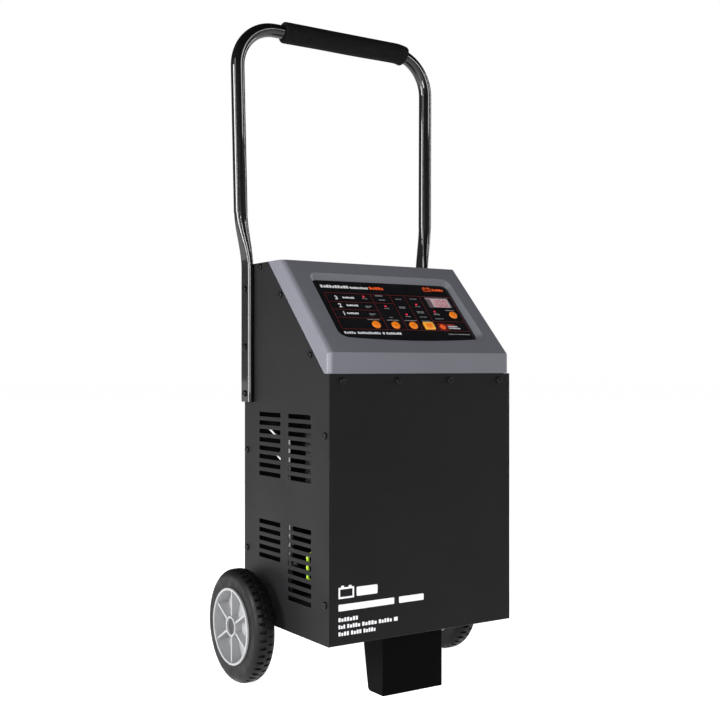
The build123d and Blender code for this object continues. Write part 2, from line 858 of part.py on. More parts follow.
def rim(side):
    """Moulded rim: hub with an open nose, dished web, six ribs and the outer band."""
    hub = ring(0, hub_radius, hub_inner_face, rim_outer_face - 1.5)
    band = ring(rim_radius - rim_band, rim_radius, tyre_inner_face - 1.5, rim_outer_face)
    edge = band.edges().filter_by(GeomType.CIRCLE).group_by(Axis.Z)[-1]
    band = fillet(edge, 0.9)
    inner = hub_radius - 2
    outer = rim_radius - rim_band + 1
    web_points = [(inner, 181.5), (outer, 174.0), (outer, 177.2), (inner, 184.7)]
    web_face = make_face(Polyline(*[(radius, 0, z) for radius, z in web_points], close=True))
    body = hub + band + revolve(web_face, axis=Axis.Z)
    for index in range(rib_count):
        length = outer - inner
        rib = Pos(inner, 0, 175) * Box(
            length, rib_thickness, 18.5, align=(Align.MIN, Align.CENTER, Align.MIN)
        )
        body += Rot(0, 0, rib_phase + index * 360 / rib_count) * rib
    body -= ring(0, axle_radius + hub_clearance, hub_inner_face - 1, rim_outer_face)
    body -= ring(0, hub_radius - 2.8, hub_floor, rim_outer_face)
    return wheel_plane(side) * body


def axle_cap(side):
    """Push-on cap that holds the wheel on the axle's end."""
    cap = ring(0, hub_radius - 3.3, hub_floor + 0.35, hub_floor + 5.5)
    cap = fillet(cap.edges().filter_by(GeomType.CIRCLE).group_by(Axis.Z)[-1], 2.0)
    return wheel_plane(side) * (cap - ring(0, axle_radius, hub_floor - 1, hub_floor + 3))


def axle():
    reach = hub_floor + 3
    return rod(point(-reach, axle_setback, axle_height), point(reach, axle_setback, axle_height), axle_radius)


def axle_spacers():
    collars = []
    for side in (-1, 1):
        collars.append(wheel_plane(side) * ring(axle_radius, 9.0, half_width + 0.5, hub_inner_face - 0.35))
    return group(collars)


def axle_bracket(x):
    """Saddle strap that holds the axle up against the tray."""
    wall = 2.5
    reach = axle_radius + 0.05
    outer = reach + wall
    half = 12.0
    span = (x - half, x + half)
    sides = (axle_setback - outer, axle_setback + outer)
    strap = block(span, sides, (axle_height - outer, case_bottom))
    strap = fillet(strap.edges().filter_by(Axis.X).group_by(Axis.Z)[0], outer - 0.5)
    strap += block(span, (axle_setback - 23, axle_setback + 23), (case_bottom - wall, case_bottom))
    strap -= block((x - 20, x + 20), (axle_setback - reach, axle_setback + reach), (axle_height, case_bottom + 1))
    strap -= rod(point(x - 20, axle_setback, axle_height), point(x + 20, axle_setback, axle_height), reach)
    return drilled(strap, axle_screw_planes(), 20)


def front_foot():
    """Bent channel: front plate, two raked sides, a top flange and a sole."""
    outline = [
        (foot_setback, 0),
        (foot_setback, case_bottom),
        (foot_top_rear, case_bottom),
        (foot_floor_rear, 0),
    ]
    outer = profile(outline, -foot_half_width, foot_half_width)
    front_edges = outer.edges().filter_by(Axis.Z)
    outer = fillet(front_edges, 2.0)
    rear_floor = outer.edges().filter_by(Axis.X).group_by(Axis.Z)[0].sort_by(Axis.Y)[-1]
    outer = fillet(rear_floor, foot_corner)
    inside = foot_half_width - foot_sheet
    hollow = profile(
        [
            (foot_setback + foot_sheet, foot_sheet),
            (foot_setback + foot_sheet, case_bottom - foot_sheet),
            (foot_top_rear + 20, case_bottom - foot_sheet),
            (foot_top_rear + 20, foot_sheet),
        ],
        -inside,
        inside,
    )
    return drilled(outer - hollow, foot_screw_planes(), 20)


# ---------------------------------------------------------------- handle
def handle_path(bottom):
    """Centre line of the round tube: up one leg, across the top and down the other."""
    share = (bottom - leg_round_bottom) / (handle_top - leg_round_bottom)
    x = leg_round_half + share * (handle_top_half - leg_round_half)
    setback = leg_round_setback + share * (handle_top_setback - leg_round_setback)
    corners = [
        point(-x, setback, bottom),
        point(-handle_top_half, handle_top_setback, handle_top),
        point(handle_top_half, handle_top_setback, handle_top),
        point(x, setback, bottom),
    ]
    return FilletPolyline(*corners, radius=bend_radius)


def leg_section(share):
    """Section of the squeezed leg: round at share 0, flat against the case at share 1."""
    ease = share * share * (3 - 2 * share)
    flat_half = half_width + leg_flat_thickness / 2
    x = leg_round_half + ease * (flat_half - leg_round_half)
    setback = leg_round_setback + ease * (leg_flat_setback - leg_round_setback)
    z = leg_blend_top + share * (leg_flat_top - leg_blend_top)
    round_width = 2 * (tube_radius - leg_blend_inset)
    round_thickness = round_width - leg_section_straight
    width = round_width + ease * (leg_flat_width - round_width)
    thickness = round_thickness + ease * (leg_flat_thickness - round_thickness)
    return Pos(*point(x, setback, z)) * Rot(0, 0, 90) * SlotOverall(width, thickness)


def handle_leg():
    """Right-hand squeezed leg, from the round tube down to its cut end."""
    taper = loft([leg_section(step / 4) for step in range(5)])
    flat = extrude(leg_section(1), amount=leg_bottom - leg_flat_top)
    return taper + flat


def handle_tube():
    round_path = handle_path(leg_round_bottom)
    bore_path = handle_path(leg_round_bottom + 12)
    tube = sweep(Plane(origin=round_path @ 0, z_dir=round_path % 0) * Circle(tube_radius), path=round_path)
    bore = sweep(Plane(origin=bore_path @ 0, z_dir=bore_path % 0) * Circle(tube_bore), path=bore_path)
    leg = handle_leg()
    handle = tube - bore + leg + mirror(leg, about=Plane.YZ)
    return drilled(handle, handle_screw_planes(-1) + handle_screw_planes(1), 40)


def handle_grip():
    """Foam sleeve along the top tube that runs on into the right-hand bend."""
    path = handle_path(leg_round_bottom)
    bend = path.edges().filter_by(GeomType.CIRCLE).sort_by(Axis.X)[-1]
    if (bend @ 0).X > (bend @ 1).X:
        bend = bend.reversed()
    bend = bend.trim(0, grip_bend_share)
    start = point(grip_left_end, handle_top_setback, handle_top)
    route = Wire([Line(start, bend @ 0).edge(), bend])
    plane = Plane(origin=start, z_dir=(1, 0, 0))
    foam = sweep(plane * Circle(grip_radius), path=route)
    ends = foam.edges().filter_by(GeomType.CIRCLE)
    ends = ends.sort_by(Axis.X)
    foam = fillet([ends[0], ends[-1]], 3.0)
    return foam - sweep(plane * Circle(tube_radius + 0.05), path=route)


def handle_nuts():
    nuts = []
    for side in (-1, 1):
        for plane in handle_screw_planes(side):
            inner = half_width - sheet
            seat = Plane(origin=Vector(side * inner, plane.origin.Y, plane.origin.Z), z_dir=(-side, 0, 0))
            nut = extrude(RegularPolygon(4.0, 6), amount=3.2)
            nut -= Cylinder(shank_radius + hole_gap, 12)
            nuts.append(seat * nut)
    return group(nuts)


# ---------------------------------------------------------------- the assembly
def nodes():
    made = {
        "base_tray": base_tray(),
        "front_panel": front_panel(),
        "rear_panel": rear_panel(),
        "left_side_panel": side_panel(-1),
        "right_side_panel": side_panel(1),
        "top_panel": top_panel(),
        "control_bezel": control_bezel(),
        "control_label": control_label(),
        "display_window": display_window(),
        "display_module": display_module(),
        "indicator_leds": indicator_leds(),
        "control_board": control_board(),
        "board_standoffs": board_standoffs(),
        "button_switches": button_switches(),
        "start_button": start_button(),
        "transformer_core": transformer_core(),
        "transformer_windings": transformer_windings(),
        "transformer_brackets": group(transformer_bracket(side) for side in (-1, 1)),
        "transformer_bolts": transformer_bolts(),
        "component_shelf": component_shelf(),
        "shelf_pillars": shelf_pillars(),
        "rectifier_heatsink": rectifier_heatsink(),
        "rectifier_diodes": rectifier_diodes(),
        "power_board": power_board(),
        "capacitors": capacitors(),
        "circuit_breaker": circuit_breaker(),
        "fan_frame": fan_frame(),
        "fan_rotor": fan_rotor(),
        "fan_guard": fan_guard(),
        "fan_screws": fan_screws(),
        "earth_wire": earth_wire(),
        "lamp_wires": lamp_wires(),
        "axle": axle(),
        "axle_spacers": axle_spacers(),
        "axle_brackets": group(axle_bracket(side * axle_bracket_half_span) for side in (-1, 1)),
        "axle_bracket_screws": screws(axle_screw_planes(), 6),
        "front_foot": front_foot(),
        "foot_screws": screws(foot_screw_planes(), 6),
        "handle_tube": handle_tube(),
        "handle_grip": handle_grip(),
        "handle_screws": screws(handle_screw_planes(-1) + handle_screw_planes(1), 14),
        "handle_nuts": handle_nuts(),
        "front_panel_screws": screws(front_screw_planes(), 8),
        "left_panel_screws": screws(side_screw_planes(-1), 8),
        "right_panel_screws": screws(side_screw_planes(1), 8),
        "rear_panel_screws": screws(rear_screw_planes(), 6),
    }
    for name, place in round_button_places.items():
        made[name] = round_button(place)
    for name, (x, bore) in zip(("mains_gland", "positive_gland", "negative_gland"), gland_places()):
        made[name] = cable_gland(x, bore)
    for name, side in (("left", -1), ("right", 1)):
        made[name + "_tyre"] = tyre(side)
        made[name + "_rim"] = rim(side)
        made[name + "_axle_cap"] = axle_cap(side)
    return made


os.makedirs("parts", exist_ok=True)
for node, shape in nodes().items():
    export_step(shape, os.path.join("parts", node + ".step"))
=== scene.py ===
import json
import math
import random

import bmesh
import bpy
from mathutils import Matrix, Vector


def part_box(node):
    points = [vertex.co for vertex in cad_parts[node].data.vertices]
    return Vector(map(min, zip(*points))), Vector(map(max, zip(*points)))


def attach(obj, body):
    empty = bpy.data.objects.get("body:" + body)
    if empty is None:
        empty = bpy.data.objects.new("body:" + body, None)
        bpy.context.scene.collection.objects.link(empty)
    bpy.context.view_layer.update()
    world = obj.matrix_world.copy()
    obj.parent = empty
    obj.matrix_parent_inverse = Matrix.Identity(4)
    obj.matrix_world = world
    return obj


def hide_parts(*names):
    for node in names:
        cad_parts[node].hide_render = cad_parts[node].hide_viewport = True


# Looks for a wheeled car battery charger: satin steel case, textured control bezel, printed label,
# gloss tube handle with a foam grip, rubber tyres on grey rims, and a white studio.
# Metres. +X is the machine's right, the front faces -Y, +Z is up and the floor is z = 0.

MM = 0.001
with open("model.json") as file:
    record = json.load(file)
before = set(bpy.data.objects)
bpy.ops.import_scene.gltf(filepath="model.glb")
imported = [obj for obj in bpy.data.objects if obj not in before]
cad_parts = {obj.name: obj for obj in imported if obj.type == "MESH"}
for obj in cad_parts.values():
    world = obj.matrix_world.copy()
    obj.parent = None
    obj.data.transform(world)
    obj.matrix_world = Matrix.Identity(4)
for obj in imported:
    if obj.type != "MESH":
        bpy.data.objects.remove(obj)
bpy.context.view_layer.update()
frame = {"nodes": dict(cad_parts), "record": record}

# ---------------------------------------------------------------- driving values
camera_place = (-0.90405, -1.35733, 0.44831)
camera_turn = (90.33, 0.0, -33.23)
camera_lens = 55.5
label_angle = math.radians(47.25)
label_top = 59.0
label_film = 0.5
ink = 0.08
largest_block = 8.0
grip_radius = 15.7
grip_tube_radius = 10.15
grip_bend_radius = 61.0
grip_bend_angle = 18.7
grip_end_round = 3.2


# ---------------------------------------------------------------- camera
def make_camera():
    data = bpy.data.cameras.new("camera")
    data.lens = camera_lens
    data.sensor_width = 36.0
    data.clip_start = 0.05
    camera = bpy.data.objects.new("camera", data)
    camera.location = camera_place
    camera.rotation_euler = [math.radians(turn) for turn in camera_turn]
    bpy.context.scene.collection.objects.link(camera)
    bpy.context.scene.camera = camera


# ---------------------------------------------------------------- procedural finishes
class Finish:
    """A procedural Principled material. Its coordinates are the row frame, in metres."""

    def __init__(self, name, colour, roughness, sockets=None):
        self.material = bpy.data.materials.new(name)
        self.material.use_nodes = True
        self.material.diffuse_color = (*colour, 1.0)
        self.tree = self.material.node_tree
        self.shader = self.tree.nodes["Principled BSDF"]
        self.colour = colour
        self.set("Base Color", (*colour, 1.0))
        self.set("Roughness", roughness)
        for socket, value in (sockets or {}).items():
            self.set(socket, value)
        self.place = self.add("ShaderNodeTexCoord").outputs["Object"]
        self.normal = None

    def set(self, socket, value):
        self.shader.inputs[socket].default_value = value

    def add(self, kind, **properties):
        node = self.tree.nodes.new(kind)
        for name, value in properties.items():
            setattr(node, name, value)
        return node

    def link(self, source, target):
        self.tree.links.new(source, target)

    def stretched(self, stretch):
        """Coordinates scaled along each axis, so that a texture runs in one direction."""
        scale = self.add("ShaderNodeVectorMath", operation="MULTIPLY")
        scale.inputs[1].default_value = stretch
        self.link(self.place, scale.inputs[0])
        return scale.outputs[0]

    def noise(self, scale, detail=3.0, stretch=None, rough=0.5):
        texture = self.add("ShaderNodeTexNoise")
        texture.inputs["Scale"].default_value = scale
        texture.inputs["Detail"].default_value = detail
        texture.inputs["Roughness"].default_value = rough
        self.link(self.stretched(stretch) if stretch else self.place, texture.inputs["Vector"])
        return texture.outputs[0]

    def cells(self, scale, feature="F1", stretch=None):
        texture = self.add("ShaderNodeTexVoronoi", feature=feature)
        texture.inputs["Scale"].default_value = scale
        self.link(self.stretched(stretch) if stretch else self.place, texture.inputs["Vector"])
        return texture.outputs["Distance"]

    def bands(self, scale, direction, distortion=0.0):
        texture = self.add("ShaderNodeTexWave", wave_type="BANDS", bands_direction=direction)
        texture.inputs["Scale"].default_value = scale
        texture.inputs["Distortion"].default_value = distortion
        self.link(self.place, texture.inputs["Vector"])
        return texture.outputs["Fac"]

    def remap(self, value, from_low, from_high, to_low=0.0, to_high=1.0):
        node = self.add("ShaderNodeMapRange")
        for socket, number in zip(
            ("From Min", "From Max", "To Min", "To Max"), (from_low, from_high, to_low, to_high)
        ):
            node.inputs[socket].default_value = number
        self.link(value, node.inputs["Value"])
        return node.outputs["Result"]

    def combine(self, operation, first, second):
        node = self.add("ShaderNodeMath", operation=operation)
        for socket, value in zip(node.inputs, (first, second)):
            if isinstance(value, (int, float)):
                socket.default_value = value
            else:
                self.link(value, socket)
        return node.outputs[0]

    def edges(self, radius, samples=4):
        """1 along sharp edges and 0 on open faces."""
        bevel = self.add("ShaderNodeBevel", samples=samples)
        bevel.inputs["Radius"].default_value = radius
        flat = self.add("ShaderNodeNewGeometry")
        same = self.add("ShaderNodeVectorMath", operation="DOT_PRODUCT")
        self.link(bevel.outputs["Normal"], same.inputs[0])
        self.link(flat.outputs["Normal"], same.inputs[1])
        return self.remap(same.outputs["Value"], 0.99, 0.80)

    def tint(self, mask, colour):
        """Blends the base colour towards another where the mask is 1."""
        mix = self.add("ShaderNodeMix", data_type="RGBA")
        self.link(mask, mix.inputs[0])
        base = self.shader.inputs["Base Color"]
        if base.is_linked:
            self.link(base.links[0].from_socket, mix.inputs[6])
        else:
            mix.inputs[6].default_value = base.default_value
        mix.inputs[7].default_value = (*colour, 1.0)
        self.link(mix.outputs[2], base)

    def mottle(self, scale, spread, detail=3.0, stretch=None):
        """Uneven colour: the base colour lightened by up to spread where a noise is high."""
        mask = self.remap(self.noise(scale, detail, stretch), 0.35, 0.70)
        self.tint(mask, [min(1.0, part * (1.0 + spread)) for part in self.colour])

    def polish(self, scale, low, high, detail=3.0, stretch=None):
        """Uneven gloss between two roughness values."""
        value = self.remap(self.noise(scale, detail, stretch), 0.30, 0.70, low, high)
        self.link(value, self.shader.inputs["Roughness"])

    def soften(self, radius, samples=4):
        """Catches light along edges as if they were rounded a little."""
        bevel = self.add("ShaderNodeBevel", samples=samples)
        bevel.inputs["Radius"].default_value = radius
        self.normal = bevel.outputs["Normal"]
        self.link(self.normal, self.shader.inputs["Normal"])

    def relief(self, height, distance, strength=1.0):
        bump = self.add("ShaderNodeBump")
        bump.inputs["Strength"].default_value = strength
        bump.inputs["Distance"].default_value = distance
        self.link(height, bump.inputs["Height"])
        if self.normal is not None:
            self.link(self.normal, bump.inputs["Normal"])
        self.normal = bump.outputs["Normal"]
        self.link(self.normal, self.shader.inputs["Normal"])


def powder_coat(name, colour, low, high, specular, grain=0.00005):
    """Baked paint on sheet steel: fine orange peel, slow colour drift and slightly worn edges."""
    paint = Finish(name, colour, low, {"Specular IOR Level": specular})
    paint.mottle(9.0, 0.22)
    paint.polish(14.0, low, high)
    paint.tint(paint.combine("MULTIPLY", paint.edges(0.0007), 0.35), [part * 3.2 for part in colour])
    paint.soften(0.0006)
    paint.relief(paint.noise(950.0, 2.0), grain, 0.55)
    return paint.material


def side_paint():
    return powder_coat("side_paint", (0.0078, 0.0078, 0.0084), 0.40, 0.50, 0.12)


def front_paint():
    return powder_coat("front_paint", (0.0040, 0.0040, 0.0045), 0.40, 0.50, 0.13)


def foot_paint():
    return powder_coat("foot_paint", (0.0006, 0.0006, 0.0007), 0.42, 0.54, 0.03)


def bezel_plastic():
    """Graphite ABS with a spark-eroded texture."""
    plastic = Finish("bezel_plastic", (0.112, 0.113, 0.132), 0.44, {"Specular IOR Level": 0.34})
    plastic.mottle(6.0, 0.07)
    plastic.polish(40.0, 0.36, 0.46)
    plastic.soften(0.0009, 6)
    plastic.relief(plastic.cells(1500.0), 0.00003, 0.50)
    plastic.relief(plastic.noise(2600.0, 2.0), 0.00002, 0.45)
    return plastic.material


def label_gloss():
    """Gloss polyester overlay, printed black from behind."""
    sockets = {"Coat Weight": 0.4, "Coat Roughness": 0.06}
    film = Finish("label_film", (0.0035, 0.0034, 0.0042), 0.16, sockets)
    film.mottle(30.0, 0.5)
    film.polish(60.0, 0.14, 0.22)
    film.relief(film.noise(180.0, 2.0), 0.00002, 0.25)
    return film.material


def window_clear():
    """Smoked clear pane over the digits."""
    pane = Finish("window_clear", (0.40, 0.36, 0.38), 0.06, {"Alpha": 0.07, "Specular IOR Level": 0.3})
    pane.polish(90.0, 0.04, 0.10)
    pane.relief(pane.noise(260.0, 1.0), 0.00001, 0.2)
    return pane.material


def moulded(name, colour, low, high, grain=0.00004, scale=1200.0):
    """Injection moulded plastic with a fine matte texture."""
    plastic = Finish(name, colour, low)
    plastic.mottle(35.0, 0.18)
    plastic.polish(70.0, low, high)
    plastic.soften(0.0003)
    plastic.relief(plastic.noise(scale, 3.0), grain, 0.5)
    return plastic.material


def glowing(name, colour, glow, strength, roughness=0.28):
    """Translucent plastic lit from inside."""
    lamp = Finish(name, colour, roughness, {"Emission Color": (*glow, 1.0), "Emission Strength": strength})
    lamp.mottle(500.0, 0.25)
    lamp.relief(lamp.cells(1400.0), 0.00002, 0.3)
    return lamp.material


def button_gloss(name, colour, edge):
    """Button cap with a tinted rim and a faint satin grain. On the orange caps the darker rim is painted
    shade; on the amber cap the lighter rim is its pale border colour.
    """
    cap = Finish(name, colour, 0.30, {"Coat Weight": 0.25, "Coat Roughness": 0.15})
    cap.mottle(240.0, 0.12)
    # Rim tint from the edge colour: painted shade round the orange caps, the real pale border on the amber
    # cap.
    cap.tint(cap.edges(0.0011, 6), edge)
    cap.polish(300.0, 0.26, 0.38)
    cap.relief(cap.noise(1500.0, 2.0), 0.00002, 0.4)
    return cap.material


def board_green():
    """Solder mask with tracks and pads showing through."""
    board = Finish("board_green", (0.006, 0.055, 0.022), 0.30)
    tracks = board.combine("MULTIPLY", board.bands(55.0, "X", 6.0), board.bands(70.0, "Z", 5.0))
    board.tint(board.remap(tracks, 0.45, 0.55), (0.015, 0.11, 0.045))
    board.tint(board.remap(board.cells(160.0), 0.16, 0.10), (0.55, 0.50, 0.36))
    board.relief(tracks, 0.00008, 0.6)
    return board.material


def laminations():
    """Varnished transformer steel, one thin line per sheet."""
    steel = Finish("core_steel", (0.060, 0.052, 0.048), 0.42, {"Metallic": 0.6})
    sheets = steel.bands(320.0, "Y", 0.6)
    steel.tint(steel.remap(sheets, 0.0, 0.35, 0.7, 0.0), (0.016, 0.013, 0.011))
    steel.polish(80.0, 0.34, 0.55)
    steel.relief(sheets, 0.00012, 0.7)
    return steel.material


def winding():
    """Layers of varnished copper wire."""
    wire = Finish("winding_copper", (0.42, 0.150, 0.050), 0.30, {"Metallic": 0.85})
    turns = wire.bands(110.0, "Z", 0.5)
    wire.tint(wire.remap(turns, 0.0, 0.4, 0.8, 0.0), (0.09, 0.028, 0.010))
    wire.mottle(50.0, 0.3)
    wire.relief(turns, 0.0006, 0.9)
    return wire.material


def plated(name, colour, low, high, grain_stretch=(1.0, 1.0, 1.0), spangle=90.0):
    """Bare or plated metal with faint crystals and rolling marks."""
    metal = Finish(name, colour, low, {"Metallic": 1.0})
    metal.mottle(spangle, 0.12, 2.0)
    metal.polish(spangle * 3.0, low, high, 2.0, grain_stretch)
    metal.soften(0.0003)
    metal.relief(metal.noise(700.0, 2.0, grain_stretch), 0.00003, 0.5)
    return metal.material


def insulation(name, colour, stripe=None):
    """Extruded cable insulation, with a second colour wound round it if it has one."""
    sleeve = Finish(name, colour, 0.36)
    sleeve.mottle(120.0, 0.10)
    if stripe:
        spiral = sleeve.bands(46.0, "DIAGONAL")
        sleeve.tint(sleeve.remap(spiral, 0.62, 0.68), stripe)
    sleeve.polish(200.0, 0.30, 0.44)
    sleeve.relief(sleeve.noise(900.0, 2.0), 0.00004, 0.5)
    return sleeve.material


def screw_black():
    """Black oxide pan head with bright worn edges."""
    steel = Finish("screw_black", (0.0030, 0.0030, 0.0034), 0.22, {"Specular IOR Level": 0.2})
    steel.mottle(400.0, 0.4)
    steel.tint(steel.combine("MULTIPLY", steel.edges(0.0004), 0.20), (0.06, 0.06, 0.065))
    steel.polish(500.0, 0.20, 0.34)
    steel.soften(0.0004)
    steel.relief(steel.noise(1600.0, 2.0), 0.00003, 0.4)
    return steel.material


def tube_gloss():
    """Gloss black coating over steel tube, with a slow orange peel."""
    sockets = {"Specular IOR Level": 0.10, "Coat Weight": 0.90, "Coat Roughness": 0.045}
    coat = Finish("tube_gloss_black", (0.0016, 0.0016, 0.0018), 0.30, sockets)
    coat.mottle(20.0, 0.4)
    coat.polish(60.0, 0.26, 0.36)
    coat.relief(coat.noise(140.0, 1.0), 0.00002, 0.10)
    return coat.material


def foam():
    """Closed-cell foam: small round cells and a dusty bloom."""
    cells = Finish("grip_foam", (0.0028, 0.0028, 0.0030), 0.80, {"Specular IOR Level": 0.08})
    cells.mottle(60.0, 0.5)
    cells.tint(cells.remap(cells.cells(1100.0), 0.62, 0.80, 0.0, 0.5), (0.0085, 0.0085, 0.0088))
    cells.polish(160.0, 0.72, 0.90)
    cells.relief(cells.cells(900.0), 0.00022, 0.55)
    cells.relief(cells.noise(160.0, 3.0), 0.00030, 0.40)
    return cells.material


def tyre_rubber():
    """Moulded rubber with mould release bloom and dust in the tread."""
    rubber = Finish("tyre_rubber", (0.0034, 0.0034, 0.0037), 0.50, {"Specular IOR Level": 0.16})
    rubber.mottle(45.0, 0.55)
    rubber.polish(90.0, 0.34, 0.56)
    rubber.tint(rubber.combine("MULTIPLY", rubber.edges(0.0008), 0.25), (0.012, 0.012, 0.0115))
    rubber.soften(0.0007)
    rubber.relief(rubber.noise(520.0, 4.0), 0.00010, 0.5)
    return rubber.material


def rim_grey():
    """Grey glass-filled plastic with flow marks."""
    plastic = Finish("rim_grey", (0.275, 0.278, 0.283), 0.44)
    plastic.mottle(28.0, 0.10)
    plastic.polish(60.0, 0.38, 0.50)
    plastic.soften(0.0008, 6)
    plastic.relief(plastic.noise(1100.0, 3.0), 0.00005, 0.5)
    return plastic.material


def can_sleeve():
    """Shrink sleeve with a pale polarity stripe."""
    sleeve = Finish("can_black", (0.012, 0.013, 0.035), 0.30)
    sleeve.tint(sleeve.remap(sleeve.bands(16.0, "X"), 0.90, 0.92), (0.30, 0.30, 0.32))
    sleeve.polish(150.0, 0.24, 0.38)
    sleeve.relief(sleeve.noise(800.0, 2.0), 0.00004, 0.5)
    return sleeve.material


def printing(name, colour, roughness=0.45):
    """Screen printing ink: a little thickness, pinholes and uneven cover."""
    paint = Finish(name, colour, roughness)
    paint.mottle(700.0, 0.10)
    paint.polish(400.0, roughness - 0.06, roughness + 0.08)
    paint.relief(paint.noise(2200.0, 2.0), 0.00001, 0.4)
    return paint.material


finishes = {
    "side_paint": side_paint(),
    "front_paint": front_paint(),
    "foot_paint": foot_paint(),
    "bezel_plastic": bezel_plastic(),
    "label_film": label_gloss(),
    "window_clear": window_clear(),
    "display_body": moulded("display_body", (0.30, 0.27, 0.28), 0.40, 0.52),
    "lamp_red": glowing("lamp_red", (0.42, 0.010, 0.030), (1.0, 0.020, 0.060), 0.55),
    "board_green": board_green(),
    "switch_black": moulded("switch_black", (0.012, 0.012, 0.013), 0.34, 0.46),
    # The orange caps' darker edge colour is painted shade round the rim; the amber cap's paler edge colour is
    # its border.
    "button_orange": button_gloss("button_orange", (0.93, 0.23, 0.008), (0.72, 0.13, 0.004)),
    "button_amber": button_gloss("button_amber", (0.98, 0.38, 0.020), (0.98, 0.58, 0.12)),
    "core_steel": laminations(),
    "winding_copper": winding(),
    "zinc_steel": plated("zinc_steel", (0.30, 0.30, 0.29), 0.36, 0.52),
    "sink_aluminium": plated("sink_aluminium", (0.22, 0.22, 0.23), 0.38, 0.52, (1.0, 0.05, 1.0)),
    "can_black": can_sleeve(),
    "breaker_grey": moulded("breaker_grey", (0.055, 0.056, 0.060), 0.42, 0.54),
    "fan_black": moulded("fan_black", (0.012, 0.012, 0.013), 0.34, 0.48),
    "guard_chrome": plated("guard_chrome", (0.66, 0.66, 0.66), 0.12, 0.24),
    "wire_earth": insulation("wire_earth", (0.36, 0.55, 0.02), (0.04, 0.22, 0.03)),
    "wire_white": insulation("wire_white", (0.62, 0.62, 0.60)),
    "screw_black": screw_black(),
    "tube_gloss_black": tube_gloss(),
    "grip_foam": foam(),
    "tyre_rubber": tyre_rubber(),
    "rim_grey": rim_grey(),
    "cap_black": moulded("cap_black", (0.016, 0.016, 0.017), 0.36, 0.50),
    "gland_rubber": moulded("gland_rubber", (0.012, 0.012, 0.012), 0.50, 0.64, 0.00008, 600.0),
}
inks = {
    "white": printing("ink_white", (0.74, 0.74, 0.76)),
    "dim": printing("ink_dim", (0.30, 0.30, 0.31)),
    "line": printing("ink_line", (0.11, 0.008, 0.007)),
    "red": printing("ink_red", (0.62, 0.035, 0.025)),
    "orange": printing("ink_orange", (0.92, 0.105, 0.012)),
    "amber": printing("ink_amber", (0.98, 0.66, 0.14)),
    "umber": printing("ink_umber", (0.45, 0.055, 0.006)),
    "pale": printing("ink_pale", (0.62, 0.46, 0.50), 0.40),
    "unlit": printing("ink_unlit", (0.10, 0.075, 0.08), 0.40),
    "silver": printing("ink_silver", (0.30, 0.30, 0.31), 0.36),
    "digit": glowing("digit_red", (0.36, 0.003, 0.020), (1.0, 0.01, 0.05), 0.12),
}


def paint_nodes():
    """Gives every CAD node the finish of its slot in the record."""
    for part in frame["record"]["subparts"]:
        for slot in frame["nodes"][part["node"]].material_slots:
            slot.material = finishes[part["material_slot"]]


# ---------------------------------------------------------------- meshes
def add_piece(name, mesh, material, body="charger", smooth_angle=None):
    """Links a mesh made in row coordinates as a piece that rides on a body."""
    if smooth_angle is not None:
        mesh.shade_smooth()
        mesh.set_sharp_from_angle(angle=math.radians(smooth_angle))
    piece = bpy.data.objects.new(name, mesh)
    bpy.context.scene.collection.objects.link(piece)
    piece.data.materials.append(material)
    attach(piece, body)
    return piece


def mesh_from(name, builder):
    """A mesh from a bmesh, with its faces turned outwards."""
    bmesh.ops.recalc_face_normals(builder, faces=builder.faces[:])
    mesh = bpy.data.meshes.new(name)
    builder.to_mesh(mesh)
    builder.free()
    return mesh


def skin_rings(builder, rings, closed=False, capped=False):
    """Joins rings of points, each with the same count, into a skin."""
    loops = [[builder.verts.new(point) for point in ring] for ring in rings]
    pairs = list(zip(loops, loops[1:]))
    if closed:
        pairs.append((loops[-1], loops[0]))
    for first, second in pairs:
        for index in range(len(first)):
            after = (index + 1) % len(first)
            builder.faces.new((first[index], first[after], second[after], second[index]))
    if capped:
        builder.faces.new(loops[0])
        builder.faces.new(loops[-1])


# ---------------------------------------------------------------- printing on flat faces
class Face:
    """A flat face to print on. Places on it are in millimetres from its origin, right and up."""

    def __init__(self, origin, right, up):
        self.origin = Vector(origin)
        self.right = Vector(right).normalized()
        self.up = Vector(up).normalized()
        self.out = self.right.cross(self.up)

    def at(self, x, y, lift=0.0):
        return self.origin + (self.right * x + self.up * y + self.out * lift) * MM


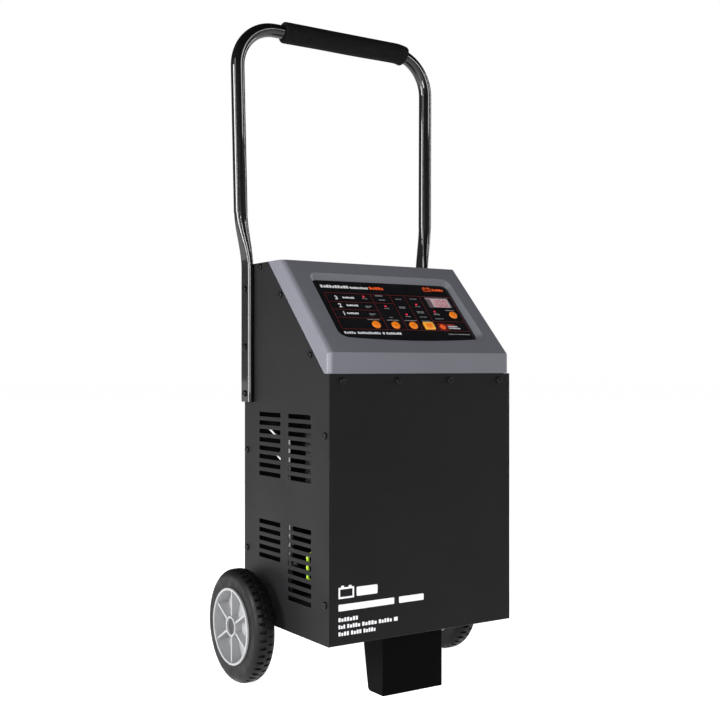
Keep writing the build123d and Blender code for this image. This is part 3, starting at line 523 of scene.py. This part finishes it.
class Print:
    """Thin raised ink on a face. All its shapes become one piece."""

    def __init__(self, name, face, colour, slot, body="charger", base=0.0, thick=ink):
        self.name = name
        self.face = face
        self.colour = colour
        self.slot = slot
        self.body = body
        self.base = base
        self.thick = thick
        self.builder = bmesh.new()

    def shape(self, outline):
        low = [self.builder.verts.new(self.face.at(x, y, self.base)) for x, y in outline]
        high = [self.builder.verts.new(self.face.at(x, y, self.base + self.thick)) for x, y in outline]
        self.builder.faces.new(high)
        self.builder.faces.new(list(reversed(low)))
        for index in range(len(outline)):
            after = (index + 1) % len(outline)
            self.builder.faces.new((low[index], low[after], high[after], high[index]))

    def bar(self, x, y, width, height, corner=None, steps=4):
        """A bar with rounded corners, from its lower left corner."""
        corner = min(width, height) * 0.32 if corner is None else corner
        outline = []
        centres = [
            (x + width - corner, y + height - corner),
            (x + corner, y + height - corner),
            (x + corner, y + corner),
            (x + width - corner, y + corner),
        ]
        for quarter, (cx, cy) in enumerate(centres):
            for step in range(steps + 1):
                angle = math.radians(90 * quarter + 90 * step / steps)
                outline.append((cx + corner * math.cos(angle), cy + corner * math.sin(angle)))
        self.shape(outline)

    def words(self, x, y, height, lengths, gap=None):
        """A line of plain blocks in place of words, one row of blocks for each word."""
        gap = height * 0.60 if gap is None else gap
        for length in lengths:
            count = 1 if height > largest_block else max(1, round(length / (height * 0.84)))
            pitch = length / count
            width = pitch * (0.74 if count > 1 else 1.0)
            for index in range(count):
                tall = height if index % 3 != 1 else height * 0.78
                self.bar(x + index * pitch, y, width, tall, height * 0.12, 2)
            x += length + gap

    def disc(self, x, y, radius, steps=36):
        turns = [2 * math.pi * step / steps for step in range(steps)]
        self.shape([(x + radius * math.cos(turn), y + radius * math.sin(turn)) for turn in turns])

    def box(self, x_low, y_low, x_high, y_high, line):
        """A rectangle drawn with a line of the given width."""
        self.bar(x_low, y_low, x_high - x_low, line, line * 0.1)
        self.bar(x_low, y_high - line, x_high - x_low, line, line * 0.1)
        self.bar(x_low, y_low + line, line, y_high - y_low - 2 * line, line * 0.1)
        self.bar(x_high - line, y_low + line, line, y_high - y_low - 2 * line, line * 0.1)

    def stroke(self, x, y, width, height, foot, lean=0.12):
        """A seven segment stroke: pointed at both ends and leaning right from the digit's foot."""
        half = min(width, height) / 2
        if width > height:
            outline = [(x, y + half), (x + half, y), (x + width - half, y), (x + width, y + half)]
            outline += [(x + width - half, y + height), (x + half, y + height)]
        else:
            outline = [(x + half, y), (x + width, y + half), (x + width, y + height - half)]
            outline += [(x + half, y + height), (x, y + height - half), (x, y + half)]
        self.shape([(px + lean * (py - foot), py) for px, py in outline])

    def digit(self, x, y, width, height, lit, line=1.5):
        half = height / 2
        strokes = {
            "top": (x, y + height - line, width, line),
            "bottom": (x, y, width, line),
            "upper_left": (x, y + half, line, half),
            "lower_left": (x, y, line, half),
            "upper_right": (x + width - line, y + half, line, half),
            "lower_right": (x + width - line, y, line, half),
        }
        for name in lit:
            self.stroke(*strokes[name], y)

    def finish(self):
        mesh = mesh_from(self.name, self.builder)
        return add_piece(self.name, mesh, self.colour, self.body)


def label_face():
    low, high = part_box("control_label")
    up = (0.0, math.cos(label_angle), math.sin(label_angle))
    edge = Vector((0.0, high.y, high.z))
    top = edge - Vector((0.0, math.sin(label_angle), 0.0)) * label_film * MM
    origin = top - Vector(up) * (label_top - 0.2) * MM
    return Face(origin, (1, 0, 0), up)


make_camera()
paint_nodes()


# ---------------------------------------------------------------- foam grip
def make_grip():
    """Foam sleeve along the top tube and into the right-hand bend, with soft rounded ends."""
    low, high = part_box("handle_grip")
    radius = grip_radius * MM
    bend = grip_bend_radius * MM
    height = high.z - radius
    setback = (low.y + high.y) / 2
    tube = grip_tube_radius * MM
    turn = math.radians(grip_bend_angle)
    bend_start = high.x - bend * math.sin(turn) - radius * math.sin(turn)
    straight = bend_start - low.x
    total = straight + bend * turn
    rings = []
    around = 72
    steps = 150
    random.seed(11)
    lumps = [(random.uniform(25, 70), random.uniform(0, 6.28), random.randint(1, 3)) for _ in range(5)]

    def place(distance):
        if distance <= straight:
            return Vector((low.x + distance, setback, height)), 0.0
        angle = (distance - straight) / bend
        centre = Vector((bend_start, setback, height - bend))
        return centre + Vector((math.sin(angle), 0, math.cos(angle))) * bend, angle

    def ring(distance, size):
        centre, angle = place(distance)
        outward = Vector((math.sin(angle), 0, math.cos(angle)))
        points = []
        for index in range(around):
            side = 2 * math.pi * index / around
            bulge = sum(math.sin(k * distance + phase + turns * side) for k, phase, turns in lumps)
            reach = size * (1 + 0.0035 * bulge)
            points.append(centre + (outward * math.cos(side) + Vector((0, 1, 0)) * math.sin(side)) * reach)
        return points

    rim = grip_end_round * MM
    corner = [math.radians(90 * step / 8) for step in range(9)]
    rings.append(ring(0.0, tube))
    rings += [ring(rim - rim * math.cos(a), radius - rim + rim * math.sin(a)) for a in corner]
    for step in range(1, steps):
        rings.append(ring(rim + (total - 2 * rim) * step / steps, radius))
    rings += [ring(total - rim + rim * math.sin(a), radius - rim + rim * math.cos(a)) for a in corner]
    rings.append(ring(total, tube))
    builder = bmesh.new()
    skin_rings(builder, rings, closed=True)
    grip = add_piece(
        "foam_grip", mesh_from("foam_grip", builder), finishes["grip_foam"], smooth_angle=60
    )
    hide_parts("handle_grip")


# ---------------------------------------------------------------- control label
grid_left = -104.5
grid_right = 116.0
grid_top = 34.5
grid_bottom = -36.3
grid_line = 0.75
column_lines = (-28.5, 5.0, 30.5, 57.7)
row_lines = (16.8, 1.5, -14.2)
last_row_line = -17.4
lamps = ((-40.8, 29.1), (-11.7, 10.8), (17.8, -4.5), (45.1, 16.8), (71.4, 3.1))
display_ground_lift = -1.70
display_digit_lift = -1.67
display_middle = (88.2, 22.8)
display_size = (41.4, 20.0)
round_buttons = {
    "rate_button": (-44.6, -26.8),
    "battery_type_button": (-11.8, -27.0),
    "charge_mode_button": (18.9, -26.6),
    "display_button": (102.1, -3.2),
}
start_middle = (46.3, -26.8)
start_size = (17.4, 14.2)
button_rise = 1.4


def numerals(name, face, entries, colour):
    """Plain step numbers, set in the built-in font and thickened."""
    builder = bmesh.new()
    for text, x, y, size in entries:
        curve = bpy.data.curves.new(name, type="FONT")
        curve.body = text
        curve.size = size * MM
        curve.offset = size * 0.022 * MM
        curve.extrude = ink * MM / 2
        curve.space_character = 0.92
        holder = bpy.data.objects.new(name, curve)
        mesh = bpy.data.meshes.new_from_object(holder)
        for vertex in mesh.vertices:
            spot = vertex.co / MM
            vertex.co = face.at(x + spot.x, y + spot.y, spot.z + ink / 2)
        builder.from_mesh(mesh)
        bpy.data.objects.remove(holder)
        bpy.data.curves.remove(curve)
        bpy.data.meshes.remove(mesh)
    bmesh.ops.remove_doubles(builder, verts=builder.verts[:], dist=1e-7)
    add_piece(name, mesh_from(name, builder), colour)


def label_lines(face):
    """The dark red ruled table round the lamps and buttons."""
    lines = Print("label_lines", face, inks["line"], "label_film")
    lines.box(grid_left, grid_bottom, grid_right, grid_top, grid_line)
    for x in column_lines:
        lines.bar(x - grid_line / 2, grid_bottom, grid_line, grid_top - grid_bottom, 0.05)
    for y in row_lines:
        lines.bar(grid_left, y - grid_line / 2, column_lines[0] - grid_left, grid_line, 0.05)
    first_width = column_lines[1] - column_lines[0]
    last_width = grid_right - column_lines[-1]
    lines.bar(column_lines[0], row_lines[0] - grid_line / 2, first_width, grid_line, 0.05)
    lines.bar(column_lines[-1], last_row_line, last_width, grid_line, 0.05)
    lines.finish()


def label_words(face):
    """Blocks in place of the printed words, with plain step numbers for the three rates."""
    white = Print("label_marks_white", face, inks["white"], "label_film")
    white.words(-105.0, 44.2, 5.6, (47.0,))
    white.words(-56.5, 44.2, 4.2, (31.0,))
    for y, start in ((25.2, -77.5), (9.9, -77.5), (-5.9, -83.5)):
        white.words(start, y - 1.4, 3.4, (19.5,))
    white.words(grid_left + 0.5, -45.4, 4.3, (18.5, 38.0, 3.0, 26.0), 3.0)
    white.words(80.0, -28.0, 2.2, (17.0,))
    white.words(80.0, -31.6, 2.2, (21.0,))
    white.finish()
    dim = Print("label_marks_small", face, inks["dim"], "label_film")
    for x, y in lamps:
        dim.words(x - 4.2, y - 5.0, 1.25, (3.6, 4.2))
    for y in (9.0, -6.0):
        dim.words(-47.0, y, 1.25, (5.0, 5.4))
        dim.words(-47.0, y - 2.2, 1.25, (7.4,))
    dim.words(-20.5, 31.0, 1.6, (13.0,))
    dim.words(-17.5, 22.6, 1.3, (10.4,))
    dim.words(-15.5, -12.0, 1.3, (6.0,))
    dim.words(12.4, 25.6, 1.3, (5.2, 4.4))
    dim.words(11.0, 9.6, 1.3, (11.2,))
    dim.words(11.0, 7.4, 1.3, (4.5, 5.0))
    for y in (27.4, 1.4, -1.0, -9.6):
        dim.words(38.6, y, 1.3, (5.6, 6.0))
    dim.words(66.6, -3.6, 1.3, (6.2, 4.0))
    dim.words(64.6, -12.2, 1.3, (10.5, 4.0))
    dim.words(92.4, 5.8, 1.3, (9.0, 6.4))
    for name in ("rate_button", "battery_type_button", "charge_mode_button"):
        x, y = round_buttons[name]
        dim.words(x - 10.5, y + 9.2, 1.4, (9.6, 10.2))
    dim.words(37.8, -18.0, 1.4, (16.0,))
    dim.words(73.0, -43.6, 2.0, (9.0, 5.0, 22.0), 1.4)
    dim.finish()
    numerals(
        "label_numbers",
        face,
        (("3", -91.0, 21.4, 10.2), ("2", -91.0, 6.2, 10.2), ("1", -91.0, -9.4, 10.2)),
        inks["white"],
    )


def label_colours(face):
    """Orange and red accents: the end of the title, a plain battery sign and a round spot."""
    orange = Print("label_marks_orange", face, inks["orange"], "label_film")
    orange.words(-23.5, 44.2, 5.6, (25.0,))
    left, low, width, height = 73.0, 45.6, 14.0, 7.4
    orange.box(left, low, left + width, low + height, 1.1)
    orange.bar(left + 2.2, low + height, 2.6, 1.2, 0.2)
    orange.bar(left + width - 4.8, low + height, 2.6, 1.2, 0.2)
    orange.bar(left + 2.4, low + 3.2, 3.2, 1.0, 0.2)
    orange.bar(left + width - 5.6, low + 3.2, 3.2, 1.0, 0.2)
    orange.bar(left + width - 4.5, low + 2.1, 1.0, 3.2, 0.2)
    orange.words(left + width + 2.6, low + 1.2, 4.8, (21.0,))
    orange.disc(70.0, -28.1, 5.0)
    orange.finish()
    red = Print("label_marks_red", face, inks["red"], "label_film")
    red.words(80.0, -24.6, 2.0, (13.0,))
    red.box(62.8, -34.6, 77.2, -21.6, 0.45)
    red.finish()


def display_digits(face):
    """Pale display ground with one dark unlit cell, and three lit digits under the clear window."""
    width, height = (side - 1.2 for side in display_size)
    left = display_middle[0] - width / 2
    low = display_middle[1] - height / 2
    ground = Print("display_ground", face, inks["pale"], "display_body", base=display_ground_lift, thick=0.03)
    ground.bar(left, low, width, height, 0.3)
    ground.finish()
    cell = Print("display_cell", face, inks["unlit"], "display_body", base=display_digit_lift, thick=0.02)
    cell.bar(left + 0.5, low + 1.2, 8.6, height - 2.4, 0.4)
    cell.finish()
    digits = Print("display_digits", face, inks["digit"], "display_body", base=display_digit_lift, thick=0.05)
    zero = ("top", "bottom", "upper_left", "lower_left", "upper_right", "lower_right")
    for index, lit in enumerate((("upper_right", "lower_right"), zero, zero)):
        digits.digit(left + 9.8 + index * 9.6, low + 3.0, 6.6, height - 6.0, lit)
    digits.finish()


def button_marks(face):
    """A pale border and a plain mark on the start button, and a small sign on each round button."""
    x, y = start_middle
    width, height = start_size
    border = Print("start_button_border", face, inks["amber"], "button_amber", "start_button", button_rise)
    border.box(x - width / 2 + 0.8, y - height / 2 + 0.8, x + width / 2 - 0.8, y + height / 2 - 0.8, 1.0)
    border.finish()
    mark = Print("start_button_mark", face, inks["orange"], "button_amber", "start_button", button_rise)
    mark.words(x - 5.2, y + 0.2, 3.2, (10.4,))
    mark.words(x - 4.0, y - 3.4, 2.2, (8.0,))
    mark.finish()
    for name, (x, y) in round_buttons.items():
        sign = Print(name + "_sign", face, inks["umber"], "button_orange", name, button_rise)
        sign.bar(x - 1.9, y - 0.35, 3.8, 0.7, 0.3)
        sign.finish()


def front_print():
    """White marks low on the front: a plain battery sign with blocks, and four lines of blocks."""
    low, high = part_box("front_panel")
    face = Face((0.0, low.y, 0.0), (1, 0, 0), (0, 0, 1))
    left = low.x / MM + 13.0
    marks = Print("front_marks", face, inks["white"], "front_paint")
    marks.box(left, 146.4, left + 24.0, 161.0, 2.4)
    marks.bar(left + 4.0, 161.0, 4.4, 2.2, 0.3)
    marks.bar(left + 15.6, 161.0, 4.4, 2.2, 0.3)
    marks.words(left + 28.0, 147.6, 12.0, (33.0,))
    marks.words(left, 130.4, 8.6, (88.0, 41.0), 8.0)
    marks.words(left, 116.6, 5.2, (31.0,))
    marks.words(left, 107.4, 5.2, (11.0, 21.0, 24.0, 22.0, 6.0), 2.4)
    marks.words(left, 98.2, 5.2, (17.0, 17.0, 20.0), 2.4)
    marks.finish()


plate_half = 52.0
plate_low = 196.0
plate_high = 284.0
plate_rows = 5


def rating_plate():
    """Plain rating plate between the fan and the cable outlets on the rear."""
    low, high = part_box("rear_panel")
    face = Face((0.0, high.y, 0.0), (-1, 0, 0), (0, 0, 1))
    marks = Print("rating_plate_marks", face, inks["silver"], "front_paint")
    marks.box(-plate_half, plate_low, plate_half, plate_high, 0.9)
    for row in range(plate_rows):
        lengths = (24.0, 18.0 + 3.0 * (row % 3), 26.0 - 4.0 * (row % 2))
        marks.words(6.0 - plate_half, plate_high - 16.0 - 10.0 * row, 4.0, lengths, 4.0)
    marks.box(-46.0, 202.0, -10.0, 220.0, 0.7)
    marks.disc(12.0, 211.0, 8.0)
    marks.box(26.0, 203.0, 44.0, 219.0, 1.2)
    marks.finish()


make_grip()
label = label_face()
display_digits(label)
button_marks(label)
front_print()
rating_plate()
label_lines(label)
label_words(label)
label_colours(label)


# ---------------------------------------------------------------- studio
floor_size = 60.0
floor_glow = 0.96
horizon_grey = (0.22, 0.22, 0.22, 1.0)
overhead_grey = (0.03, 0.03, 0.032, 1.0)
overhead_starts = 0.45
aim = (0.0, 0.0, 0.42)
softboxes = {
    "key": ((-3.2, 0.5, 0.95), (0.9, 1.5), 112.0),
    "front": ((-1.15, -1.25, 0.62), (0.5, 0.5), 15.0),
    "sheen": ((1.7, -2.3, 1.75), (0.9, 0.5), 14.0),
    "strip_left": ((-2.6, -0.65, 0.95), (0.14, 2.2), 22.0),
    "strip_right": ((2.5, -0.35, 0.95), (0.12, 2.2), 24.0),
}


def make_floor():
    """Pale seamless floor that glows, so that it stays plain white to the camera."""
    mesh = bpy.data.meshes.new("floor")
    half = floor_size / 2
    corners = [(-half, -half, 0), (half, -half, 0), (half, half, 0), (-half, half, 0)]
    mesh.from_pydata(corners, [], [(0, 1, 2, 3)])
    floor = bpy.data.objects.new("floor", mesh)
    bpy.context.scene.collection.objects.link(floor)
    paper = Finish(
        "floor_paper", (0.80, 0.80, 0.80), 0.90,
        {"Emission Color": (1, 1, 1, 1), "Emission Strength": floor_glow, "Specular IOR Level": 0.0},
    )
    paper.mottle(0.8, 0.01)
    floor.data.materials.append(paper.material)


def make_world():
    """White behind the object to the eye, while the object itself is lit by a dim, dark-topped studio."""
    world = bpy.data.worlds.new("studio")
    world.use_nodes = True
    tree = world.node_tree
    background = tree.nodes["Background"]
    place = tree.nodes.new("ShaderNodeTexCoord")
    parts = tree.nodes.new("ShaderNodeSeparateXYZ")
    fade = tree.nodes.new("ShaderNodeValToRGB")
    seen = tree.nodes.new("ShaderNodeLightPath")
    choose = tree.nodes.new("ShaderNodeMix")
    choose.data_type = "RGBA"
    tree.links.new(place.outputs["Generated"], parts.inputs[0])
    tree.links.new(parts.outputs["Z"], fade.inputs["Fac"])
    tree.links.new(seen.outputs["Is Camera Ray"], choose.inputs[0])
    tree.links.new(fade.outputs["Color"], choose.inputs[6])
    choose.inputs[7].default_value = (1.0, 1.0, 1.0, 1.0)
    tree.links.new(choose.outputs[2], background.inputs["Color"])
    ramp = fade.color_ramp
    ramp.interpolation = "EASE"
    ramp.elements[0].position = 0.0
    ramp.elements[0].color = horizon_grey
    ramp.elements[1].position = overhead_starts
    ramp.elements[1].color = overhead_grey
    background.inputs["Strength"].default_value = 1.0
    bpy.context.scene.world = world


def softbox(name, place, size, power):
    """A rectangular light, turned to the object and hidden from the camera."""
    data = bpy.data.lights.new(name, "AREA")
    data.shape = "RECTANGLE"
    data.size, data.size_y = size
    data.energy = power
    light = bpy.data.objects.new(name, data)
    light.location = place
    light.rotation_euler = (Vector(aim) - Vector(place)).to_track_quat("-Z", "Y").to_euler()
    light.visible_camera = False
    bpy.context.scene.collection.objects.link(light)


make_floor()
make_world()
for box_name, (box_place, box_size, box_power) in softboxes.items():
    softbox(box_name, box_place, box_size, box_power)
bpy.context.scene.view_settings.view_transform = "Standard"
